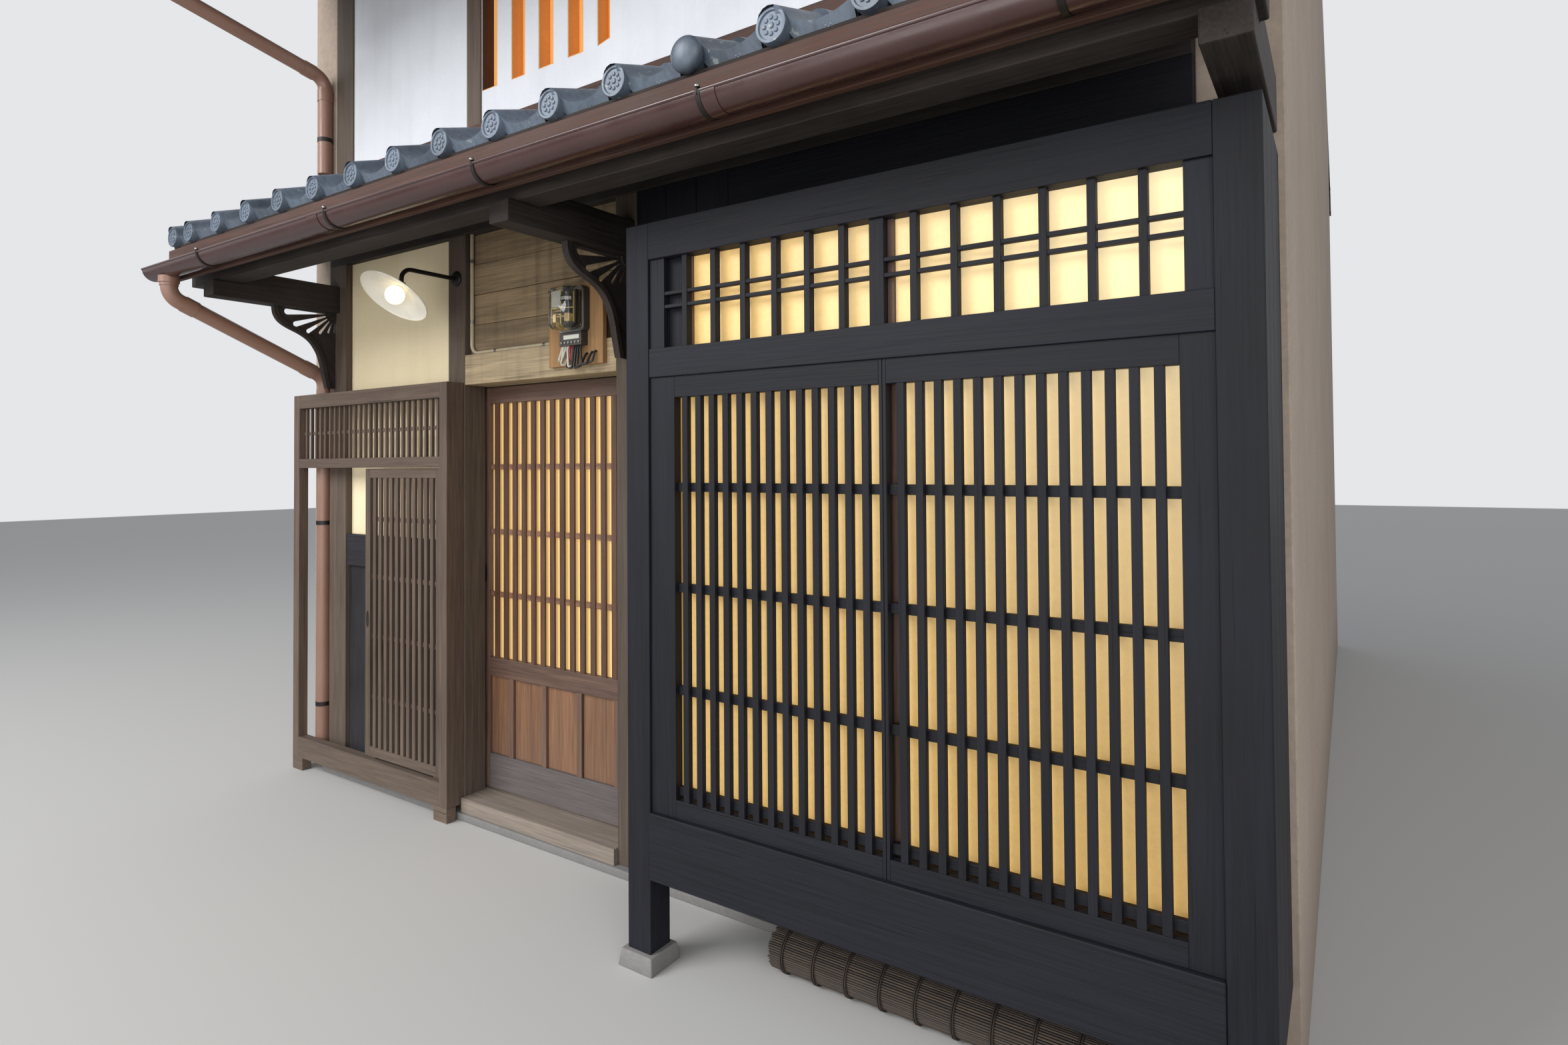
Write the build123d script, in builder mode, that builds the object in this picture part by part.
import math
import os

from build123d import *

os.makedirs("parts", exist_ok=True)

# A two-storey town house, one house of a row, between plain party walls.
# Millimetres. X runs along the street front, Y into the house, Z up from the street.
# The origin is in the middle of the plan, at street level.

# House
house_width = 4260
house_depth = 6000
party_wall = 190
upper_wall_top = 4100
front = -house_depth / 2  # the street faces of the ground-storey posts
rear = house_depth / 2
half_width = house_width / 2
room_half = half_width - party_wall

# Ground works
kerb_height = 30
kerb_depth = 170
kerb_nose = 30
floor_thickness = 60
base_stone_height = 50
base_stone_margin = 22

# Ground-storey frame
post_depth = 105
party_post_width = 145
mid_post_left = -989
mid_post_width = 114
entrance_post_left = 10
entrance_post_width = 105
head_beam_height = 150
head_beam_depth = 150
front_wall_face = 32
front_wall_thickness = 58

# Plaster panel and its boarded foot
wainscot_top = 1160
wainscot_proud = 12
wainscot_rail = 150
wainscot_rail_proud = 14

# Entrance
sill_height = 60
sill_nose = 20
lintel_bottom = 1830
lintel_height = 127
lintel_depth = 100
door_left = -918
door_right = 40
door_face = 117
door_thickness = 32
door_clearance = 5
door_stile = 57
door_top_rail = 70
door_slat_pitch = 58.1
door_slat_width = 27
door_slat_depth = 13
door_slat_bottom = 657
door_mid_rail = 80
door_kick_height = 144
door_panel_stile = 26
door_panel_recess = 8
door_cross_rail = 18
door_cross_rails = [930, 1200, 1480]
door_rail_setback = 4
door_rail_depth = 8
door_panel_count = 4
track_width = 46
track_rail_width = 8
track_rail_height = 4
runner_length = 60
runner_gap = 0.3
glass_thickness = 4
door_glass_back = 8

# Planks and fittings over the entrance
plank_wall_thickness = 40
meter_board_width = 290
meter_board_height = 310
meter_board_thickness = 22
meter_board_tail = 60
meter_board_left = -326
meter_board_bottom = 1862
meter_left = -230
meter_bottom = 2000
meter_width = 130
meter_height = 165
meter_base_depth = 34
meter_cover_depth = 64
meter_cover_inset = 9
meter_corner = 20
terminal_width = 96
terminal_height = 48
terminal_depth = 56
conduit_radius = 8
conduit_bend = 40
conduit_from_post = 17

# Lattice screen in front of the plaster panel
screen_from_side = 15
screen_right = -881
screen_front = 85
screen_depth = 45
screen_top = 1840
screen_post = 52
screen_top_rail = 65
screen_mid_top = 1526
screen_mid_rail = 45
screen_bottom = 60
screen_bottom_rail = 100
screen_foot = 90
transom_bar_width = 13
transom_bar_depth = 14
screen_gap_count = 27
transom_rail = 16
panel_width = 567
panel_thickness = 26
panel_stile = 38
panel_rail = 42
panel_gap_count = 12
panel_bar_width = 22
panel_bar_depth = 12
panel_cross_rail = 20
panel_cross_rails = [437, 714, 983, 1246]
panel_rail_setback = 2
panel_rail_depth = 10
panel_end_gap = 5
panel_lift = 12
panel_back_gap = 5

# Projecting lattice bay
bay_left = 441
bay_from_side = 17
bay_post = 88
bay_reach = 400  # from the posts of the house to the street face of the bay's posts
bay_setback = 9  # the lattice stands this far behind the posts' faces
bay_top = 2200
sill_board_bottom = 270
sill_board_top = 465
sill_board_depth = 92
sill_board_proud = 5
lattice_bottom_rail = 52
lattice_top = 1740
lattice_top_rail = 62
lattice_pitch = 48.45
lattice_gap = 28.45
lattice_bar_depth = 18
lattice_frame_depth = 30
lattice_least_stile = 60
lattice_right_stile = 67
lattice_cross_rail = 26
lattice_cross_rails = [539, 829, 1125, 1417]
lattice_let_in = 3
mid_rail_bottom = 1740
mid_rail_top = 1825
mid_rail_depth = 80
mid_rail_setback = 3
transom_top = 2090
transom_bar = 18
transom_bar_pitch = 103.5
transom_first_bar = 99  # from the middle of the bay
transom_stile = 55
transom_mullion = 40
transom_muntin = 10
transom_muntins = [1946, 1985]
transom_depth = 24
sash_gap = 8
sash_depth = 26
sash_stile = 40
sash_rail = 50
board = 20
bay_floor_top = 465

# Rolled reed blind lying under the bay
blind_radius = 62
blind_front = 228
blind_length = 1140
blind_from_bay = 153

# Eaves over the street
eaves_beam_front = 540
eaves_beam_depth = 100
eaves_beam_bottom = 2310
eaves_beam_height = 100
arm_bottom = 2240
arm_height = 130
arm_width = 90
arm_nose = 30
pent_slope = 0.4
pent_reach = 610
pent_rafter = 45
pent_rafter_height = 60
pent_rafter_count = 12
pent_deck = 16
pent_tile_bed = 45
fascia_height = 142
fascia_thickness = 22
upper_face = 40
upper_wall_thickness = 60
foot_board_top = 2945
foot_board_proud = 12

# Rolls of the roof tiles, one to a row of tiles, and one along each verge
tile_pitch = 255.1
tile_roll_offset = 109.4
tile_roll_radius = 42
tile_roll_height = 50
tile_roll_root = 5

# Gutters
gutter_radius = 50
gutter_wall = 3
gutter_rim_drop = 22  # below the underside of the rafters at the eaves
clip_pitch = 895
clip_width = 25
clip_thickness = 4
clip_count = 5
pipe_radius = 33
pipe_bend = 70
pipe_from_side = 145
pipe_stand_off = 35  # from the end of the party wall to the pipe's axis
pipe_strap_height = 20
pipe_strap_grip = 3
pipe_drop = 80
pipe_strap_levels = [310, 1200, 3110, 3350]
lower_pipe = (35, 1930)  # its foot and its upper elbow
upper_pipe = (2950, 3430)

# Fan brackets: spokes from a hub under the arm to a rim that curves in towards the hub
fan_reach = 290
fan_drop = 365
fan_sag = 58
fan_rim = 24
fan_thickness = 40
fan_web_thickness = 26
fan_hub = 36
fan_wedge_count = 7
fan_margin = 3  # degrees between the first opening and the arm
fan_gap = 4  # degrees that a spoke takes

# Upper storey
upper_floor_thickness = 35
joist_width = 45
joist_height = 100
joist_count = 7
slot_bottom = 3092
slot_top = 3900
slots = [(-812, -714), (-622, -539), (-455, -369), (-285, -200), (-122, -56)]
last_slot_rise = 14
upper_post = (-907, -814)
glass_lap = 20

# Main roof
main_slope = 0.42
main_reach = 790
main_deck = 20
main_tile_bed = 45
main_rafter = 50
main_rafter_height = 75
main_rafter_count = 10
ridge_width = 240
ridge_height = 190
ridge_roll_radius = 75

# Rear wall
rear_windows = [-1150, 450]
rear_window_width = 700
rear_window_bottom = 950
rear_window_top = 1700
rear_gap_count = 10
rear_bar = 24
rear_bar_depth = 24
rear_bar_setback = 20
rear_wall_thickness = 90

# Lamp over the screen
lamp_below_beam = 186
lamp_reach = 310
lamp_drop = 70
lamp_arm_radius = 9
lamp_arm_bend = 45
lamp_plate_radius = 34
lamp_plate_thickness = 12
lamp_radius = 140
lamp_crown_radius = 48
lamp_depth = 55
lamp_tilt = 35
lamp_wall = 3
lamp_socket_radius = 22
lamp_socket_height = 24
bulb_radius = 38

pieces = {}


def facing_street(y):
    """A sketch plane at y whose extrusions grow towards the street."""
    return Plane.XZ.offset(-y)


def facing_right(x):
    """A sketch plane at x, drawn in Y and Z, whose extrusions grow towards +X."""
    return Plane.YZ.offset(x)


def level(z):
    """A sketch plane at height z."""
    return Plane.XY.offset(z)


def rect(x_span, y_span, mode=Mode.ADD):
    """A rectangle in the open sketch, given by its two spans."""
    with Locations((sum(x_span) / 2, sum(y_span) / 2)):
        Rectangle(x_span[1] - x_span[0], y_span[1] - y_span[0], mode=mode)


def slab(x_span, y_span, z_span, mode=Mode.ADD):
    """An upright box in the open part, given by its three spans."""
    with BuildSketch(level(z_span[0])) as plan:
        rect(x_span, y_span)
    extrude(plan.sketch, amount=z_span[1] - z_span[0], mode=mode)


def spread(count, low, high):
    """Evenly spaced places from low to high, both included."""
    return [low + (high - low) * i / (count - 1) for i in range(count)]


# Lines that the pieces share

beam_y = (front - eaves_beam_front, front - eaves_beam_front + eaves_beam_depth)
beam_top = eaves_beam_bottom + eaves_beam_height


def rafter_line(y):
    """Height of the pent rafters' underside at y: they bear on the beam's outer arris."""
    return beam_top + pent_slope * (y - beam_y[0])


def roof_line(y):
    """Height of the main rafters' underside at y, on both slopes."""
    return upper_wall_top + main_slope * (-(front + upper_face) - abs(y))


screen_left = -half_width + screen_from_side
bay_right = half_width - bay_from_side
pipe_x = -half_width + pipe_from_side
ground_wall_top = rafter_line(front)
head_bottom = ground_wall_top - head_beam_height
wall_face = front + front_wall_face
wall_back = wall_face + front_wall_thickness
wall_y = (wall_face, wall_back)
pent_eave = front - pent_reach
pent_inner = wall_face
pent_tile_top = pent_rafter_height + pent_deck + pent_tile_bed


# Ground works

bay_face = front - bay_reach
bay_back_of_posts = bay_face + bay_post

with BuildPart() as foundation:
    for y in (front - kerb_nose, rear - kerb_depth):
        slab((-room_half, room_half), (y, y + kerb_depth), (0, kerb_height))
    for x in (bay_left + bay_post / 2, bay_right - bay_post / 2):
        with BuildSketch(level(0)):
            with Locations((x, bay_face + bay_post / 2)):
                Rectangle(bay_post + 2 * base_stone_margin, bay_post + 2 * base_stone_margin)
        extrude(amount=base_stone_height, taper=8)
pieces["foundation"] = foundation

with BuildPart() as ground_floor:
    slab(
        (-room_half, room_half),
        (front - kerb_nose + kerb_depth, rear - kerb_depth),
        (0, floor_thickness),
    )
pieces["ground_floor"] = ground_floor


# Party walls, with gables up to the underside of the roof

gable_lift = main_rafter_height

for side, x in (("left", -half_width), ("right", room_half)):
    with BuildPart() as party:
        with BuildSketch(facing_right(x)):
            Polygon(
                (wall_face, 0),
                (rear, 0),
                (rear, roof_line(rear) + gable_lift),
                (0, roof_line(0) + gable_lift),
                (wall_face, roof_line(wall_face) + gable_lift),
                align=None,
            )
        extrude(amount=party_wall)
    pieces[side + "_party_wall"] = party


# Posts of the front: whole ones below, and the faces of the upper ones in the plaster

with BuildPart() as front_posts:
    for x, width in (
        (-room_half, party_post_width),
        (mid_post_left, mid_post_width),
        (entrance_post_left, entrance_post_width),
    ):
        slab((x, x + width), (front, front + post_depth), (kerb_height, head_bottom))
    for x_span in (
        (-room_half, -room_half + party_post_width),
        upper_post,
        (room_half - party_post_width, room_half),
    ):
        slab(x_span, (wall_face, front + upper_face), (foot_board_top, roof_line(wall_face)))
pieces["front_posts"] = front_posts

mid_post_right = mid_post_left + mid_post_width
entrance_post_right = entrance_post_left + entrance_post_width
party_post_right = -room_half + party_post_width

with BuildPart() as head_beam:
    slab((-room_half, room_half), (front, front + head_beam_depth), (head_bottom, ground_wall_top))
pieces["head_beam"] = head_beam

with BuildPart() as plaster_panel:
    slab((party_post_right, mid_post_left), wall_y, (wainscot_top, head_bottom))
pieces["plaster_panel"] = plaster_panel

with BuildPart() as wainscot:
    slab(
        (party_post_right, mid_post_left),
        (wall_y[0] - wainscot_proud, wall_y[1]),
        (kerb_height, wainscot_top),
    )
    slab(
        (party_post_right, mid_post_left),
        (wall_y[0] - wainscot_proud - wainscot_rail_proud, wall_y[1]),
        (wainscot_top - wainscot_rail, wainscot_top),
    )
pieces["wainscot"] = wainscot


# Entrance: sill with a track that runs on behind the plaster panel, lintel, head track

sill_top = kerb_height + sill_height
track_y = front + door_face + door_thickness / 2

with BuildPart() as entrance_sill:
    slab(
        (mid_post_right, entrance_post_left),
        (front - sill_nose, front + post_depth),
        (kerb_height, sill_top),
    )
    slab(
        (-room_half, entrance_post_right),
        (front + post_depth, track_y + track_width / 2),
        (floor_thickness, sill_top),
    )
    slab(
        (-room_half, entrance_post_right),
        (track_y - track_rail_width / 2, track_y + track_rail_width / 2),
        (sill_top, sill_top + track_rail_height),
    )
pieces["entrance_sill"] = entrance_sill

with BuildPart() as entrance_lintel:
    slab(
        (mid_post_right, entrance_post_left),
        (front, front + lintel_depth),
        (lintel_bottom, lintel_bottom + lintel_height),
    )
    slab(
        (-room_half, entrance_post_right),
        (front + post_depth, track_y + track_width / 2),
        (lintel_bottom, lintel_bottom + lintel_height / 2),
    )
pieces["entrance_lintel"] = entrance_lintel

with BuildPart() as over_door_wall:
    slab(
        (mid_post_right, entrance_post_left),
        (front + front_wall_face, front + front_wall_face + plank_wall_thickness),
        (lintel_bottom + lintel_height, head_bottom),
    )
pieces["over_door_wall"] = over_door_wall


# Entrance door, a sliding lattice over glass with a boarded foot

door_bottom = sill_top + track_rail_height + door_clearance
door_top = lintel_bottom - door_clearance
door_front = front + door_face
door_back = door_front + door_thickness
door_inner = (door_left + door_stile, door_right - door_stile)
kick_top = door_bottom + door_kick_height
slat_count = round((door_inner[1] - door_inner[0]) / door_slat_pitch) - 1
panel_top = door_slat_bottom - door_mid_rail
door_panels_run = door_inner[1] - door_inner[0] - (door_panel_count + 1) * door_panel_stile
door_panel_width = door_panels_run / door_panel_count

with BuildPart() as entrance_door:
    with BuildSketch(facing_street(door_back)):
        rect((door_left, door_right), (door_bottom, door_top))
        rect(door_inner, (door_slat_bottom, door_top - door_top_rail), Mode.SUBTRACT)
    extrude(amount=door_thickness)
    with BuildSketch(facing_street(door_front)):
        for i in range(door_panel_count):
            x = door_inner[0] + door_panel_stile + i * (door_panel_width + door_panel_stile)
            rect((x, x + door_panel_width), (kick_top, panel_top))
    extrude(amount=-door_panel_recess, mode=Mode.SUBTRACT)
    with BuildSketch(facing_street(door_front + door_slat_depth)):
        for i in range(slat_count):
            x = door_inner[0] + door_slat_pitch * (i + 1) - door_slat_width
            rect((x, x + door_slat_width), (door_slat_bottom, door_top - door_top_rail))
    extrude(amount=door_slat_depth)
    with BuildSketch(facing_street(door_front + door_slat_depth + door_rail_setback)):
        for z in door_cross_rails:
            rect(door_inner, (z - door_cross_rail / 2, z + door_cross_rail / 2))
    extrude(amount=door_rail_depth)
    for x in (door_left + door_stile, door_right - door_stile):
        slab(
            (x - runner_length / 2, x + runner_length / 2),
            (track_y - track_rail_width / 2, track_y + track_rail_width / 2),
            (sill_top + track_rail_height + runner_gap, door_bottom),
        )
pieces["entrance_door"] = entrance_door

with BuildPart() as door_glass:
    slab(
        door_inner,
        (door_back - door_glass_back - glass_thickness, door_back - door_glass_back),
        (door_slat_bottom, door_top - door_top_rail),
    )
pieces["door_glass"] = door_glass


# Meter on its backboard, and the conduit that feeds it

lintel_top = lintel_bottom + lintel_height
board_front = front - meter_board_thickness
board_span = (meter_board_left, meter_board_left + meter_board_width)
with BuildPart() as meter_board:
    slab(
        board_span,
        (board_front, front),
        (meter_board_bottom, meter_board_bottom + meter_board_height),
    )
    slab(
        (board_span[0] + meter_board_tail, board_span[1] - meter_board_tail),
        (board_front, wall_face),
        (lintel_top, meter_board_bottom + meter_board_height),
    )
pieces["meter_board"] = meter_board

meter_x = meter_left + meter_width / 2
meter_z = meter_bottom + meter_height / 2
with BuildPart() as meter:
    with BuildSketch(facing_street(board_front)):
        with Locations((meter_x, meter_z)):
            RectangleRounded(meter_width, meter_height, meter_corner)
    extrude(amount=meter_base_depth)
    with BuildSketch(facing_street(board_front - meter_base_depth)):
        with Locations((meter_x, meter_z)):
            RectangleRounded(
                meter_width - 2 * meter_cover_inset, meter_height - 2 * meter_cover_inset, meter_corner
            )
    extrude(amount=meter_cover_depth, taper=4)
    with BuildSketch(facing_street(board_front)):
        with Locations((meter_x, meter_bottom - terminal_height / 2)):
            Rectangle(terminal_width, terminal_height)
    extrude(amount=terminal_depth)
pieces["meter"] = meter

conduit_y = wall_face - conduit_radius
conduit_z = lintel_top + conduit_radius
conduit_turn = mid_post_right + conduit_from_post
with BuildPart() as conduit:
    with BuildLine() as run:
        FilletPolyline(
            (board_span[0] + meter_board_tail, conduit_y, conduit_z),
            (conduit_turn, conduit_y, conduit_z),
            (conduit_turn, conduit_y, head_bottom),
            radius=conduit_bend,
        )
    with BuildSketch(Plane(run.wire() @ 0, z_dir=run.wire() % 0)):
        Circle(conduit_radius)
    sweep()
pieces["conduit"] = conduit


# Lattice screen, open at its left half, with one sliding panel

screen_y = (front - screen_front, front - screen_front + screen_depth)
screen_inner = (screen_left + screen_post, screen_right - screen_post)
screen_mid_bottom = screen_mid_top - screen_mid_rail
screen_bottom_top = screen_bottom + screen_bottom_rail

transom_z = (screen_mid_top, screen_top - screen_top_rail)
transom_mid = sum(screen_y) / 2
transom_pitch = (screen_inner[1] - screen_inner[0] + transom_bar_width) / screen_gap_count

with BuildPart() as screen_frame:
    with BuildSketch(facing_street(screen_y[1])):
        rect((screen_left, screen_right), (screen_bottom, screen_top))
        rect(screen_inner, (screen_mid_top, screen_top - screen_top_rail), Mode.SUBTRACT)
        rect(screen_inner, (screen_bottom_top, screen_mid_bottom), Mode.SUBTRACT)
    extrude(amount=screen_depth)
    for x in (screen_left, screen_right - screen_foot):
        slab((x, x + screen_foot), screen_y, (0, screen_bottom))
    slab(
        (-room_half, party_post_right),
        (screen_y[1], front),
        (screen_top - screen_top_rail, screen_top),
    )
    slab((mid_post_left, screen_right), (screen_y[1], front), (screen_bottom, screen_top))
    with BuildSketch(facing_street(transom_mid + transom_bar_depth / 2)):
        for i in range(screen_gap_count - 1):
            x = screen_inner[0] + transom_pitch * (i + 1) - transom_bar_width
            rect((x, x + transom_bar_width), transom_z)
    extrude(amount=transom_bar_depth)
    slab(
        screen_inner,
        (transom_mid, transom_mid + transom_bar_depth),
        (sum(transom_z) / 2 - transom_rail / 2, sum(transom_z) / 2 + transom_rail / 2),
    )
pieces["screen_frame"] = screen_frame

panel_right = screen_inner[1] - panel_end_gap
panel_left = panel_right - panel_width
panel_y = (screen_y[1] - panel_back_gap - panel_thickness, screen_y[1] - panel_back_gap)
panel_z = (screen_bottom_top + runner_gap + panel_lift, screen_mid_bottom - panel_end_gap)
panel_inner = (panel_left + panel_stile, panel_right - panel_stile)
panel_pitch = (panel_inner[1] - panel_inner[0] + panel_bar_width) / panel_gap_count
panel_mid = sum(panel_y) / 2
with BuildPart() as screen_panel:
    with BuildSketch(facing_street(panel_y[1])):
        rect((panel_left, panel_right), panel_z)
        rect(panel_inner, (panel_z[0] + panel_rail, panel_z[1] - panel_rail), Mode.SUBTRACT)
    extrude(amount=panel_thickness)
    with BuildSketch(facing_street(panel_mid)):
        for i in range(panel_gap_count - 1):
            x = panel_inner[0] + panel_pitch * (i + 1) - panel_bar_width
            rect((x, x + panel_bar_width), (panel_z[0] + panel_rail, panel_z[1] - panel_rail))
    extrude(amount=panel_bar_depth)
    with BuildSketch(facing_street(panel_mid - panel_rail_setback + panel_rail_depth)):
        for z in panel_cross_rails:
            rect(panel_inner, (z - panel_cross_rail / 2, z + panel_cross_rail / 2))
    extrude(amount=panel_rail_depth)
    for x in (panel_left + panel_stile, panel_right - panel_stile):
        slab(
            (x - runner_length / 2, x + runner_length / 2),
            (panel_mid - track_rail_width / 2, panel_mid + track_rail_width / 2),
            (screen_bottom_top + runner_gap, panel_z[0]),
        )
pieces["screen_panel"] = screen_panel


# Projecting bay

lattice_front = bay_face + bay_setback
lattice_back = lattice_front + lattice_frame_depth
bay_inner = (bay_left + bay_post, bay_right - bay_post)

with BuildPart() as bay_posts:
    for x in (bay_left, bay_right - bay_post):
        slab((x, x + bay_post), (bay_face, bay_back_of_posts), (base_stone_height, bay_top))
pieces["bay_posts"] = bay_posts

with BuildPart() as bay_sill_board:
    slab(
        bay_inner,
        (bay_face - sill_board_proud, bay_face - sill_board_proud + sill_board_depth),
        (sill_board_bottom, sill_board_top),
    )
pieces["bay_sill_board"] = bay_sill_board

with BuildPart() as bay_rails:
    slab(
        bay_inner,
        (bay_face + mid_rail_setback, bay_face + mid_rail_setback + mid_rail_depth),
        (mid_rail_bottom, mid_rail_top),
    )
    slab(bay_inner, (bay_face, bay_face + mid_rail_depth), (transom_top, bay_top))
pieces["bay_rails"] = bay_rails

lattice_bar = lattice_pitch - lattice_gap
opening_right = bay_inner[1] - lattice_right_stile
widest_opening = opening_right - bay_inner[0] - lattice_least_stile
lattice_gap_count = 2 * int((widest_opening + lattice_bar) / (2 * lattice_pitch))
opening_left = opening_right - lattice_gap_count * lattice_pitch + lattice_bar
half_gaps = lattice_gap_count // 2
seam = opening_left + half_gaps * lattice_pitch - lattice_bar / 2
opening_bottom = sill_board_top + lattice_bottom_rail
opening_top = lattice_top - lattice_top_rail

for name, span, opening in (
    ("bay_lattice_left", (bay_inner[0], seam), (opening_left, seam - lattice_bar / 2)),
    ("bay_lattice_right", (seam, bay_inner[1]), (seam + lattice_bar / 2, opening_right)),
):
    with BuildPart() as lattice:
        with BuildSketch(facing_street(lattice_back)):
            rect(span, (sill_board_top, lattice_top))
            rect(opening, (opening_bottom, opening_top), Mode.SUBTRACT)
        extrude(amount=lattice_frame_depth)
        with BuildSketch(facing_street(lattice_front + lattice_bar_depth)):
            for i in range(half_gaps - 1):
                x = opening[0] + lattice_gap + i * lattice_pitch
                rect((x, x + lattice_bar), (opening_bottom, opening_top))
        extrude(amount=lattice_bar_depth)
        with BuildSketch(facing_street(lattice_back)):
            for z in lattice_cross_rails:
                rect(opening, (z - lattice_cross_rail / 2, z + lattice_cross_rail / 2))
        extrude(amount=lattice_frame_depth - lattice_bar_depth + lattice_let_in)
    pieces[name] = lattice

half_transom = (bay_inner[1] - bay_inner[0]) / 2 - transom_stile
transom_bar_count = int((half_transom - transom_first_bar - transom_bar) / transom_bar_pitch) + 1
transom_edges = [transom_mullion / 2]
for i in range(transom_bar_count):
    middle_of_bar = transom_first_bar + i * transom_bar_pitch
    transom_edges += [middle_of_bar - transom_bar / 2, middle_of_bar + transom_bar / 2]
transom_edges.append(half_transom)

with BuildPart() as bay_transom:
    centre = sum(bay_inner) / 2
    with BuildSketch(facing_street(lattice_front + transom_depth)):
        rect(bay_inner, (mid_rail_top, transom_top))
        for low, high in zip(transom_edges[::2], transom_edges[1::2]):
            rect((centre + low, centre + high), (mid_rail_top, transom_top), Mode.SUBTRACT)
            rect((centre - high, centre - low), (mid_rail_top, transom_top), Mode.SUBTRACT)
        for z in transom_muntins:
            rect(bay_inner, (z - transom_muntin / 2, z + transom_muntin / 2))
    extrude(amount=transom_depth)
pieces["bay_transom"] = bay_transom

sash_front = lattice_back + sash_gap
sash_back = sash_front + sash_depth
sash_mid = sum(bay_inner) / 2
with BuildPart() as bay_sashes:
    with BuildSketch(facing_street(sash_back)):
        rect(bay_inner, (bay_floor_top, mid_rail_bottom))
        for span in ((bay_inner[0], sash_mid), (sash_mid, bay_inner[1])):
            rect(
                (span[0] + sash_stile, span[1] - sash_stile),
                (bay_floor_top + sash_rail, mid_rail_bottom - sash_rail),
                Mode.SUBTRACT,
            )
    extrude(amount=sash_depth)
pieces["bay_sashes"] = bay_sashes

glass_front = (sash_front + sash_back - glass_thickness) / 2
glass_y = (glass_front, glass_front + glass_thickness)

with BuildPart() as bay_sides:
    for x, back in ((bay_left, front), (bay_right - board, wall_face)):
        slab((x, x + board), (bay_back_of_posts, back), (sill_board_bottom, bay_top))
pieces["bay_sides"] = bay_sides

with BuildPart() as bay_boards:
    for top in (bay_floor_top, bay_top):
        slab((bay_left + board, bay_right - board), (bay_back_of_posts, front), (top - board, top))
pieces["bay_boards"] = bay_boards

with BuildPart() as side_wall:
    slab((entrance_post_right, bay_inner[0]), (front, wall_back), (kerb_height, head_bottom))
pieces["side_wall"] = side_wall

with BuildPart() as bay_back_wall:
    for z_span in ((kerb_height, bay_floor_top), (bay_top - board, head_bottom)):
        slab((bay_inner[0], room_half), (front, wall_back), z_span)
pieces["bay_back_wall"] = bay_back_wall

blind_right = bay_right - blind_from_bay
with BuildPart() as rolled_blind:
    with BuildSketch(facing_right(blind_right - blind_length)):
        with Locations((front - blind_front + blind_radius, blind_radius)):
            Circle(blind_radius)
    extrude(amount=blind_length)
pieces["rolled_blind"] = rolled_blind


# Eaves over the street

arm_places = [
    -room_half + arm_width / 2,
    entrance_post_left + entrance_post_width / 2,
    bay_right - bay_post / 2,
]

with BuildPart() as eaves_beam:
    slab((-half_width, half_width), beam_y, (eaves_beam_bottom, beam_top))
pieces["eaves_beam"] = eaves_beam

with BuildPart() as eaves_arms:
    for x in arm_places:
        with BuildSketch(facing_right(x - arm_width / 2)):
            Polygon(
                (front, arm_bottom),
                (beam_y[0] - arm_nose, arm_bottom),
                (beam_y[0] - arm_nose, eaves_beam_bottom),
                (beam_y[1], eaves_beam_bottom),
                (beam_y[1], arm_bottom + arm_height),
                (front, arm_bottom + arm_height),
                align=None,
            )
        extrude(amount=arm_width)
pieces["eaves_arms"] = eaves_arms

# the rim is an arc of a circle that stands outside the bracket, so it curves in towards the hub
fan_chord = math.hypot(fan_reach, fan_drop)
rim_radius = (fan_chord**2 / 4 + fan_sag**2) / (2 * fan_sag)
rim_offset = (rim_radius - fan_sag) / fan_chord
rim_centre = (-fan_reach / 2 - rim_offset * fan_drop, -fan_drop / 2 - rim_offset * fan_reach)


def fan_ray(angle, length):
    """A point in Y and Z at some length from the hub: 180 runs out along the arm, 270 down."""
    turn = math.radians(angle)
    return (front + length * math.cos(turn), arm_bottom + length * math.sin(turn))


def rim_point(angle, inset):
    """The point of the rim that a ray from the hub meets."""
    turn = math.radians(angle)
    along = rim_centre[0] * math.cos(turn) + rim_centre[1] * math.sin(turn)
    reach = math.hypot(*rim_centre) ** 2 - (rim_radius + inset) ** 2
    return fan_ray(angle, along - math.sqrt(along**2 - reach))


fan_angles = spread(13, 180, 270)
wedge_pitch = (90 - 2 * fan_margin + fan_gap) / fan_wedge_count
with BuildPart() as fan_brackets:
    for x in arm_places[:2]:
        with BuildSketch(facing_right(x - fan_web_thickness / 2)):
            Polygon(fan_ray(0, 0), *[rim_point(a, fan_rim / 2) for a in fan_angles], align=None)
            for i in range(fan_wedge_count):
                low = 180 + fan_margin + i * wedge_pitch
                high = low + wedge_pitch - fan_gap
                Polygon(
                    fan_ray(low, fan_hub),
                    *[rim_point(a, fan_rim) for a in spread(3, low, high)],
                    fan_ray(high, fan_hub),
                    align=None,
                    mode=Mode.SUBTRACT,
                )
        extrude(amount=fan_web_thickness)
        with BuildSketch(facing_right(x - fan_thickness / 2)):
            Polygon(fan_ray(0, 0), *[rim_point(a, 0) for a in fan_angles], align=None)
            Polygon(
                fan_ray(0, 0),
                *[rim_point(a, fan_rim) for a in fan_angles],
                align=None,
                mode=Mode.SUBTRACT,
            )
            Polygon(fan_ray(0, 0), *[fan_ray(a, fan_hub) for a in spread(5, 180, 270)], align=None)
        extrude(amount=fan_thickness)
pieces["fan_brackets"] = fan_brackets


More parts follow.
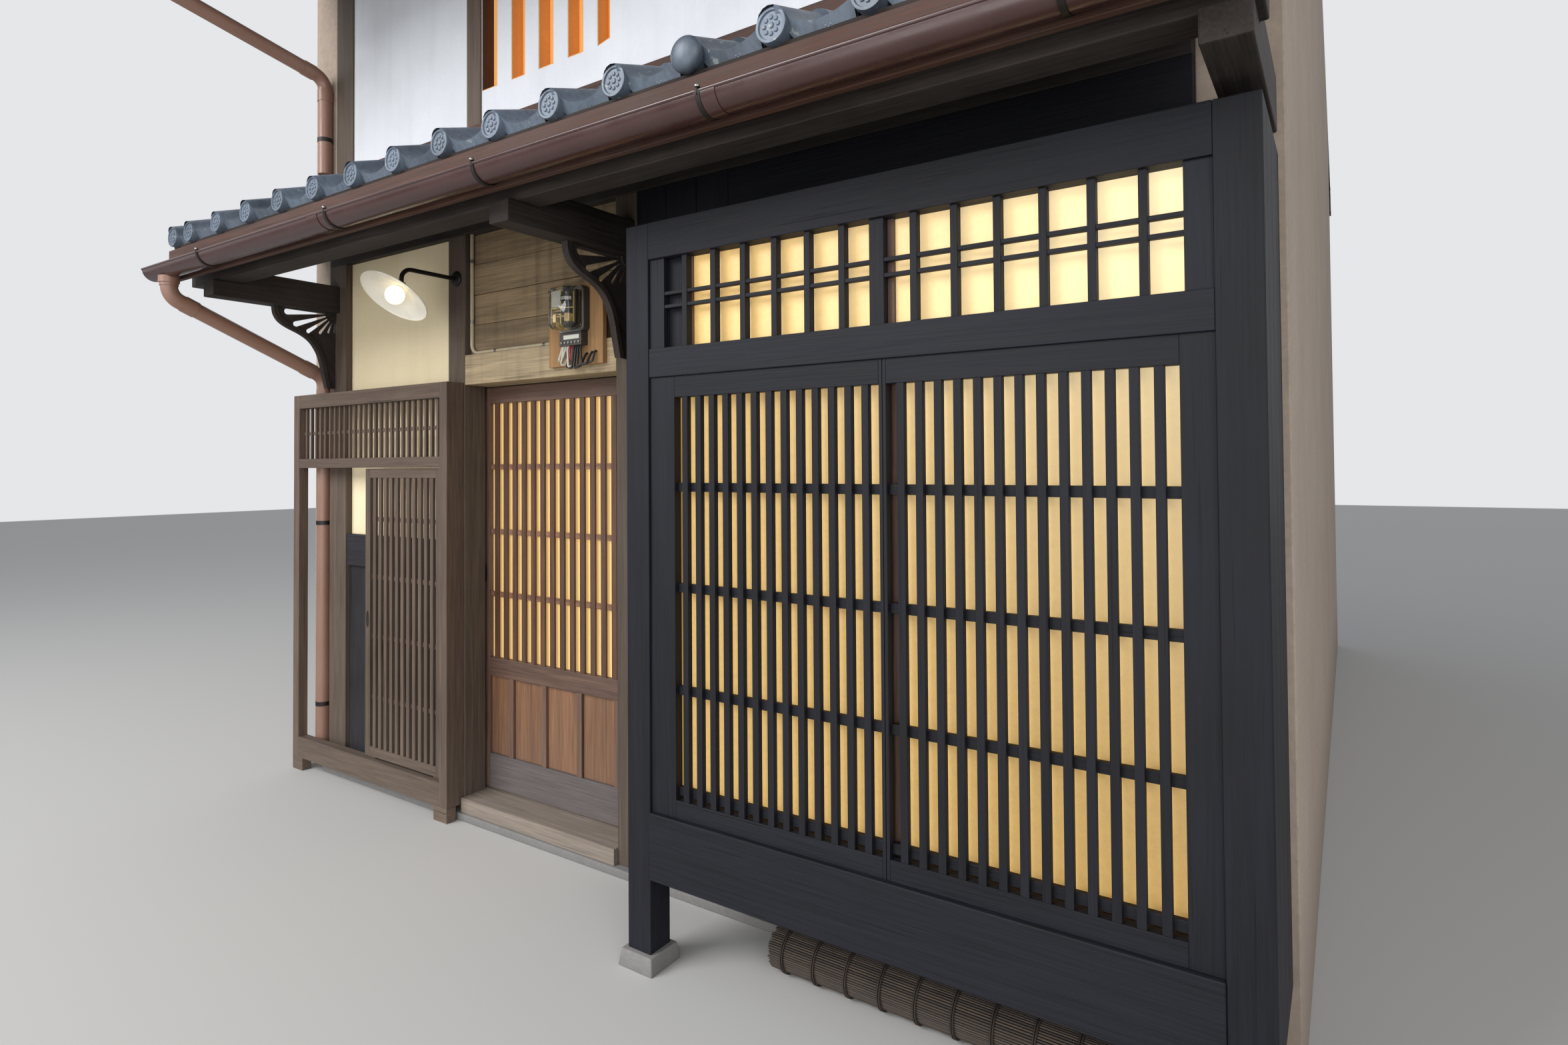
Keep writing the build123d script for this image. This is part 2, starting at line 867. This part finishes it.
def sloping(line, y_low, y_high, lift_low, lift_high):
    """A board's outline in Y and Z in the open sketch, between two lifts above a line."""
    Polygon(
        (y_low, line(y_low) + lift_low),
        (y_high, line(y_high) + lift_low),
        (y_high, line(y_high) + lift_high),
        (y_low, line(y_low) + lift_high),
        align=None,
    )


first_roll = math.ceil((tile_pitch / 2 - half_width - tile_roll_offset) / tile_pitch)
last_roll = math.floor((half_width - tile_roll_offset - tile_pitch / 2) / tile_pitch)
roll_places = [tile_roll_offset + i * tile_pitch for i in range(first_roll, last_roll + 1)]
roll_places += [tile_roll_radius - half_width, half_width - tile_roll_radius]


def tile_rolls(line, y_low, y_high, lift):
    """Rolls that run up a slope on its pans, in the open part, between two values of y."""
    rise = line(y_high) - line(y_low)
    foot = line(y_low) + lift
    root = foot - tile_roll_root
    crown = foot + tile_roll_height
    with BuildSketch(facing_street(y_low)) as ends:
        for x in roll_places:
            Polygon(
                (x - tile_roll_radius, root),
                (x + tile_roll_radius, root),
                (x + tile_roll_radius, foot + tile_roll_height / 3),
                (x + tile_roll_radius / 2, crown),
                (x - tile_roll_radius / 2, crown),
                (x - tile_roll_radius, foot + tile_roll_height / 3),
                align=None,
            )
    run = Vector(0, y_high - y_low, rise)
    extrude(ends.sketch, amount=run.length, dir=run.normalized())


with BuildPart() as pent_roof:
    with BuildSketch(facing_right(-half_width)):
        sloping(rafter_line, pent_eave, pent_inner, pent_rafter_height, pent_tile_top)
    extrude(amount=house_width)
    tile_rolls(rafter_line, pent_eave, wall_face - foot_board_proud, pent_tile_top)
pieces["pent_roof"] = pent_roof

with BuildPart() as foot_board:
    roof_at_wall = rafter_line(pent_inner) + pent_tile_top
    slab((-room_half, room_half), (wall_face, front + upper_face), (roof_at_wall, foot_board_top))
    slab(
        (-half_width, half_width),
        (wall_face - foot_board_proud, wall_face),
        (roof_at_wall, foot_board_top),
    )
pieces["foot_board"] = foot_board


# Main roof

main_front_eave = front - main_reach
main_rear_eave = rear + main_reach
main_tile_top = main_rafter_height + main_deck + main_tile_bed
main_rafter_places = spread(main_rafter_count, -room_half + main_rafter, room_half - main_rafter)

with BuildPart() as rafters:
    for x in spread(pent_rafter_count, -half_width + pent_rafter, half_width - pent_rafter):
        with BuildSketch(facing_right(x - pent_rafter / 2)):
            sloping(rafter_line, pent_eave, pent_inner, 0, pent_rafter_height)
        extrude(amount=pent_rafter)
    for x in main_rafter_places:
        with BuildSketch(facing_right(x - main_rafter / 2)):
            sloping(roof_line, main_front_eave, 0, 0, main_rafter_height)
        extrude(amount=main_rafter)
pieces["rafters"] = rafters

with BuildPart() as rear_rafters:
    for x in main_rafter_places:
        with BuildSketch(facing_right(x - main_rafter / 2)):
            sloping(roof_line, 0, main_rear_eave, 0, main_rafter_height)
        extrude(amount=main_rafter)
pieces["rear_rafters"] = rear_rafters

for name, eave, ridge_face in (
    ("main_roof_front", main_front_eave, -ridge_width / 2),
    ("main_roof_rear", main_rear_eave, ridge_width / 2),
):
    with BuildPart() as slope:
        with BuildSketch(facing_right(-half_width)):
            sloping(roof_line, eave, 0, main_rafter_height, main_tile_top)
        extrude(amount=house_width)
        tile_rolls(roof_line, eave, ridge_face, main_tile_top)
    pieces[name] = slope

ridge_z = roof_line(0) + main_tile_top
ridge_foot = ridge_z - main_slope * ridge_width / 2
with BuildPart() as roof_ridge:
    with BuildSketch(facing_right(-half_width)):
        Polygon(
            (-ridge_width / 2, ridge_foot),
            (0, ridge_z),
            (ridge_width / 2, ridge_foot),
            (ridge_width / 2, ridge_z + ridge_height),
            (-ridge_width / 2, ridge_z + ridge_height),
            align=None,
        )
        with Locations((0, ridge_z + ridge_height)):
            Circle(ridge_roll_radius)
    extrude(amount=house_width)
pieces["roof_ridge"] = roof_ridge


# Fascias, and half-round gutters held to them by clips
# Each eaves: the y of the rafter ends, the way out, and the rafters' underside there

all_eaves = [
    (pent_eave, -1, rafter_line(pent_eave), pent_rafter_height + pent_deck),
    (main_front_eave, -1, roof_line(main_front_eave), main_rafter_height + main_deck),
    (main_rear_eave, 1, roof_line(main_rear_eave), main_rafter_height + main_deck),
]


def gutter_axis(eave, way):
    """The y of a gutter's middle line."""
    return eave + way * (fascia_thickness + clip_thickness + gutter_radius)


def half_ring(centre_y, rim, outer, inner):
    """The lower half of a ring in the open sketch."""
    with Locations((centre_y, rim)):
        Circle(outer)
        Circle(inner, mode=Mode.SUBTRACT)
    rect((centre_y - outer, centre_y + outer), (rim, rim + outer), Mode.SUBTRACT)


with BuildPart() as fascias:
    for eave, way, underside, lift in all_eaves:
        slab(
            (-half_width, half_width),
            sorted((eave, eave + way * fascia_thickness)),
            (underside + lift - fascia_height, underside + lift),
        )
pieces["fascias"] = fascias

with BuildPart() as gutters:
    for eave, way, underside, lift in all_eaves:
        with BuildSketch(facing_right(-half_width)):
            axis = gutter_axis(eave, way)
            rim = underside - gutter_rim_drop
            half_ring(axis, rim, gutter_radius, gutter_radius - gutter_wall)
        extrude(amount=house_width)
        for x in (-half_width, half_width - gutter_wall):
            with BuildSketch(facing_right(x)):
                with Locations((axis, rim)):
                    Circle(gutter_radius)
                rect(
                    (axis - gutter_radius, axis + gutter_radius),
                    (rim, rim + gutter_radius),
                    Mode.SUBTRACT,
                )
            extrude(amount=gutter_wall)
        for i in range(clip_count):
            with BuildSketch(facing_right((i - (clip_count - 1) / 2) * clip_pitch - clip_width / 2)):
                half_ring(axis, rim, gutter_radius + clip_thickness, gutter_radius)
                reach = gutter_radius + clip_thickness
                tail = sorted((axis - way * gutter_radius, axis - way * reach))
                rect(tail, (rim, rim + gutter_radius))
            extrude(amount=clip_width)
pieces["gutters"] = gutters

# Downpipes: from a gutter's bottom back to the wall, then down it
pipe_y = wall_face - pipe_stand_off
with BuildPart() as downpipes:
    for eave, rim, (foot, elbow) in (
        (pent_eave, rafter_line(pent_eave) - gutter_rim_drop, lower_pipe),
        (main_front_eave, roof_line(main_front_eave) - gutter_rim_drop, upper_pipe),
    ):
        top = rim - gutter_radius
        with BuildLine() as route:
            FilletPolyline(
                (pipe_x, gutter_axis(eave, -1), top),
                (pipe_x, gutter_axis(eave, -1), top - pipe_drop),
                (pipe_x, pipe_y, elbow),
                (pipe_x, pipe_y, foot),
                radius=pipe_bend,
            )
        with BuildSketch(Plane(route.wire() @ 0, z_dir=route.wire() % 0)):
            Circle(pipe_radius)
        sweep()
    for z in pipe_strap_levels:
        slab(
            (pipe_x - pipe_radius - pipe_strap_grip, pipe_x + pipe_radius + pipe_strap_grip),
            (pipe_y, wall_face),
            (z, z + pipe_strap_height),
        )
pieces["downpipes"] = downpipes


# Upper storey

upper_floor_bottom = ground_wall_top + joist_height
with BuildPart() as upper_floor:
    slab(
        (-room_half, room_half),
        (front + upper_face + upper_wall_thickness, rear - rear_wall_thickness),
        (upper_floor_bottom, upper_floor_bottom + upper_floor_thickness),
    )
    for x in spread(joist_count, -room_half + joist_width / 2, room_half - joist_width / 2):
        slab(
            (x - joist_width / 2, x + joist_width / 2),
            (front + upper_face + upper_wall_thickness, rear - rear_wall_thickness),
            (upper_floor_bottom - joist_height, upper_floor_bottom),
        )
pieces["upper_floor"] = upper_floor

upper_y = (front + upper_face, front + upper_face + upper_wall_thickness)
with BuildPart() as upper_front_wall:
    with BuildSketch(facing_street(upper_y[1])):
        rect((-room_half, room_half), (ground_wall_top, upper_wall_top + main_rafter_height))
        for x in main_rafter_places:
            rect(
                (x - main_rafter / 2, x + main_rafter / 2),
                (upper_wall_top, upper_wall_top + main_rafter_height),
                Mode.SUBTRACT,
            )
        for left, right in slots[:-1]:
            rect((left, right), (slot_bottom, slot_top), Mode.SUBTRACT)
        left, right = slots[-1]
        Polygon(
            (left, slot_bottom),
            (right, slot_bottom + last_slot_rise),
            (right, slot_top),
            (left, slot_top),
            align=None,
            mode=Mode.SUBTRACT,
        )
    extrude(amount=upper_wall_thickness)
pieces["upper_front_wall"] = upper_front_wall

with BuildPart() as window_glass:
    for span in ((bay_inner[0], sash_mid), (sash_mid, bay_inner[1])):
        slab(
            (span[0] + sash_stile, span[1] - sash_stile),
            glass_y,
            (bay_floor_top + sash_rail, mid_rail_bottom - sash_rail),
        )
    slab(bay_inner, (sash_front, sash_front + glass_thickness), (mid_rail_top, transom_top))
    slab(
        (slots[0][0] - glass_lap, slots[-1][1] + glass_lap),
        (upper_y[1], upper_y[1] + glass_thickness),
        (slot_bottom - glass_lap, slot_top + glass_lap),
    )
    for x in rear_windows:
        slab(
            (x - glass_lap, x + rear_window_width + glass_lap),
            (rear - rear_wall_thickness - glass_thickness, rear - rear_wall_thickness),
            (rear_window_bottom - glass_lap, rear_window_top + glass_lap),
        )
pieces["window_glass"] = window_glass


# Rear wall

with BuildPart() as rear_wall:
    with BuildSketch(facing_street(rear)):
        rect((-room_half, room_half), (kerb_height, roof_line(rear) + main_rafter_height))
        for x in main_rafter_places:
            rect(
                (x - main_rafter / 2, x + main_rafter / 2),
                (roof_line(rear), roof_line(rear) + main_rafter_height),
                Mode.SUBTRACT,
            )
        for x in rear_windows:
            rect((x, x + rear_window_width), (rear_window_bottom, rear_window_top), Mode.SUBTRACT)
    extrude(amount=rear_wall_thickness)
pieces["rear_wall"] = rear_wall

rear_pitch = (rear_window_width + rear_bar) / rear_gap_count
rear_window_middle = (rear_window_bottom + rear_window_top) / 2
with BuildPart() as rear_lattices:
    with BuildSketch(facing_street(rear - rear_bar_setback)):
        for left in rear_windows:
            for i in range(rear_gap_count - 1):
                x = left + rear_pitch * (i + 1) - rear_bar
                rect((x, x + rear_bar), (rear_window_bottom, rear_window_top))
            rect(
                (left, left + rear_window_width),
                (rear_window_middle - rear_bar / 2, rear_window_middle + rear_bar / 2),
            )
    extrude(amount=rear_bar_depth)
pieces["rear_lattices"] = rear_lattices


# Wall lamp on a bent arm from the mid post

lamp_x = mid_post_left + mid_post_width / 2
lamp_height = head_bottom - lamp_below_beam
lamp_y = front - lamp_reach
lamp_head = (lamp_x, lamp_y, lamp_height - lamp_drop)
# the shade opens downwards and towards the street
shade_plane = Plane(origin=lamp_head, x_dir=(1, 0, 0), z_dir=(0, 0, 1)).rotated((-lamp_tilt, 0, 0))
with BuildPart() as lamp_arm:
    with BuildSketch(facing_street(front)):
        with Locations((lamp_x, lamp_height)):
            Circle(lamp_plate_radius)
    extrude(amount=lamp_plate_thickness)
    with BuildLine() as arm_run:
        FilletPolyline(
            (lamp_x, front - lamp_plate_thickness, lamp_height),
            (lamp_x, lamp_y, lamp_height),
            lamp_head,
            radius=lamp_arm_bend,
        )
    with BuildSketch(Plane(arm_run.wire() @ 0, z_dir=arm_run.wire() % 0)):
        Circle(lamp_arm_radius)
    sweep()
    with BuildSketch(shade_plane.offset(-lamp_arm_radius)):
        Circle(lamp_socket_radius)
    extrude(amount=lamp_socket_height)
pieces["lamp_arm"] = lamp_arm

with BuildPart() as lamp_shade:
    with BuildSketch(Plane(origin=lamp_head, x_dir=shade_plane.x_dir, z_dir=-shade_plane.y_dir)):
        Polygon(
            (0, -lamp_arm_radius),
            (lamp_crown_radius, -lamp_arm_radius),
            (lamp_radius, -lamp_depth),
            (lamp_radius, -lamp_depth - lamp_wall),
            (lamp_radius - lamp_wall, -lamp_depth - lamp_wall),
            (lamp_crown_radius - lamp_wall, -lamp_arm_radius - lamp_wall),
            (0, -lamp_arm_radius - lamp_wall),
            align=None,
        )
    revolve(axis=Axis(lamp_head, shade_plane.z_dir))
pieces["lamp_shade"] = lamp_shade

with BuildPart() as lamp_bulb:
    with Locations(shade_plane.offset(-lamp_arm_radius - lamp_wall - bulb_radius)):
        Sphere(bulb_radius)
pieces["lamp_bulb"] = lamp_bulb


for name, piece in pieces.items():
    piece.part.label = name
    export_step(piece.part, f"parts/{name}.step")

print(len(pieces), "pieces")
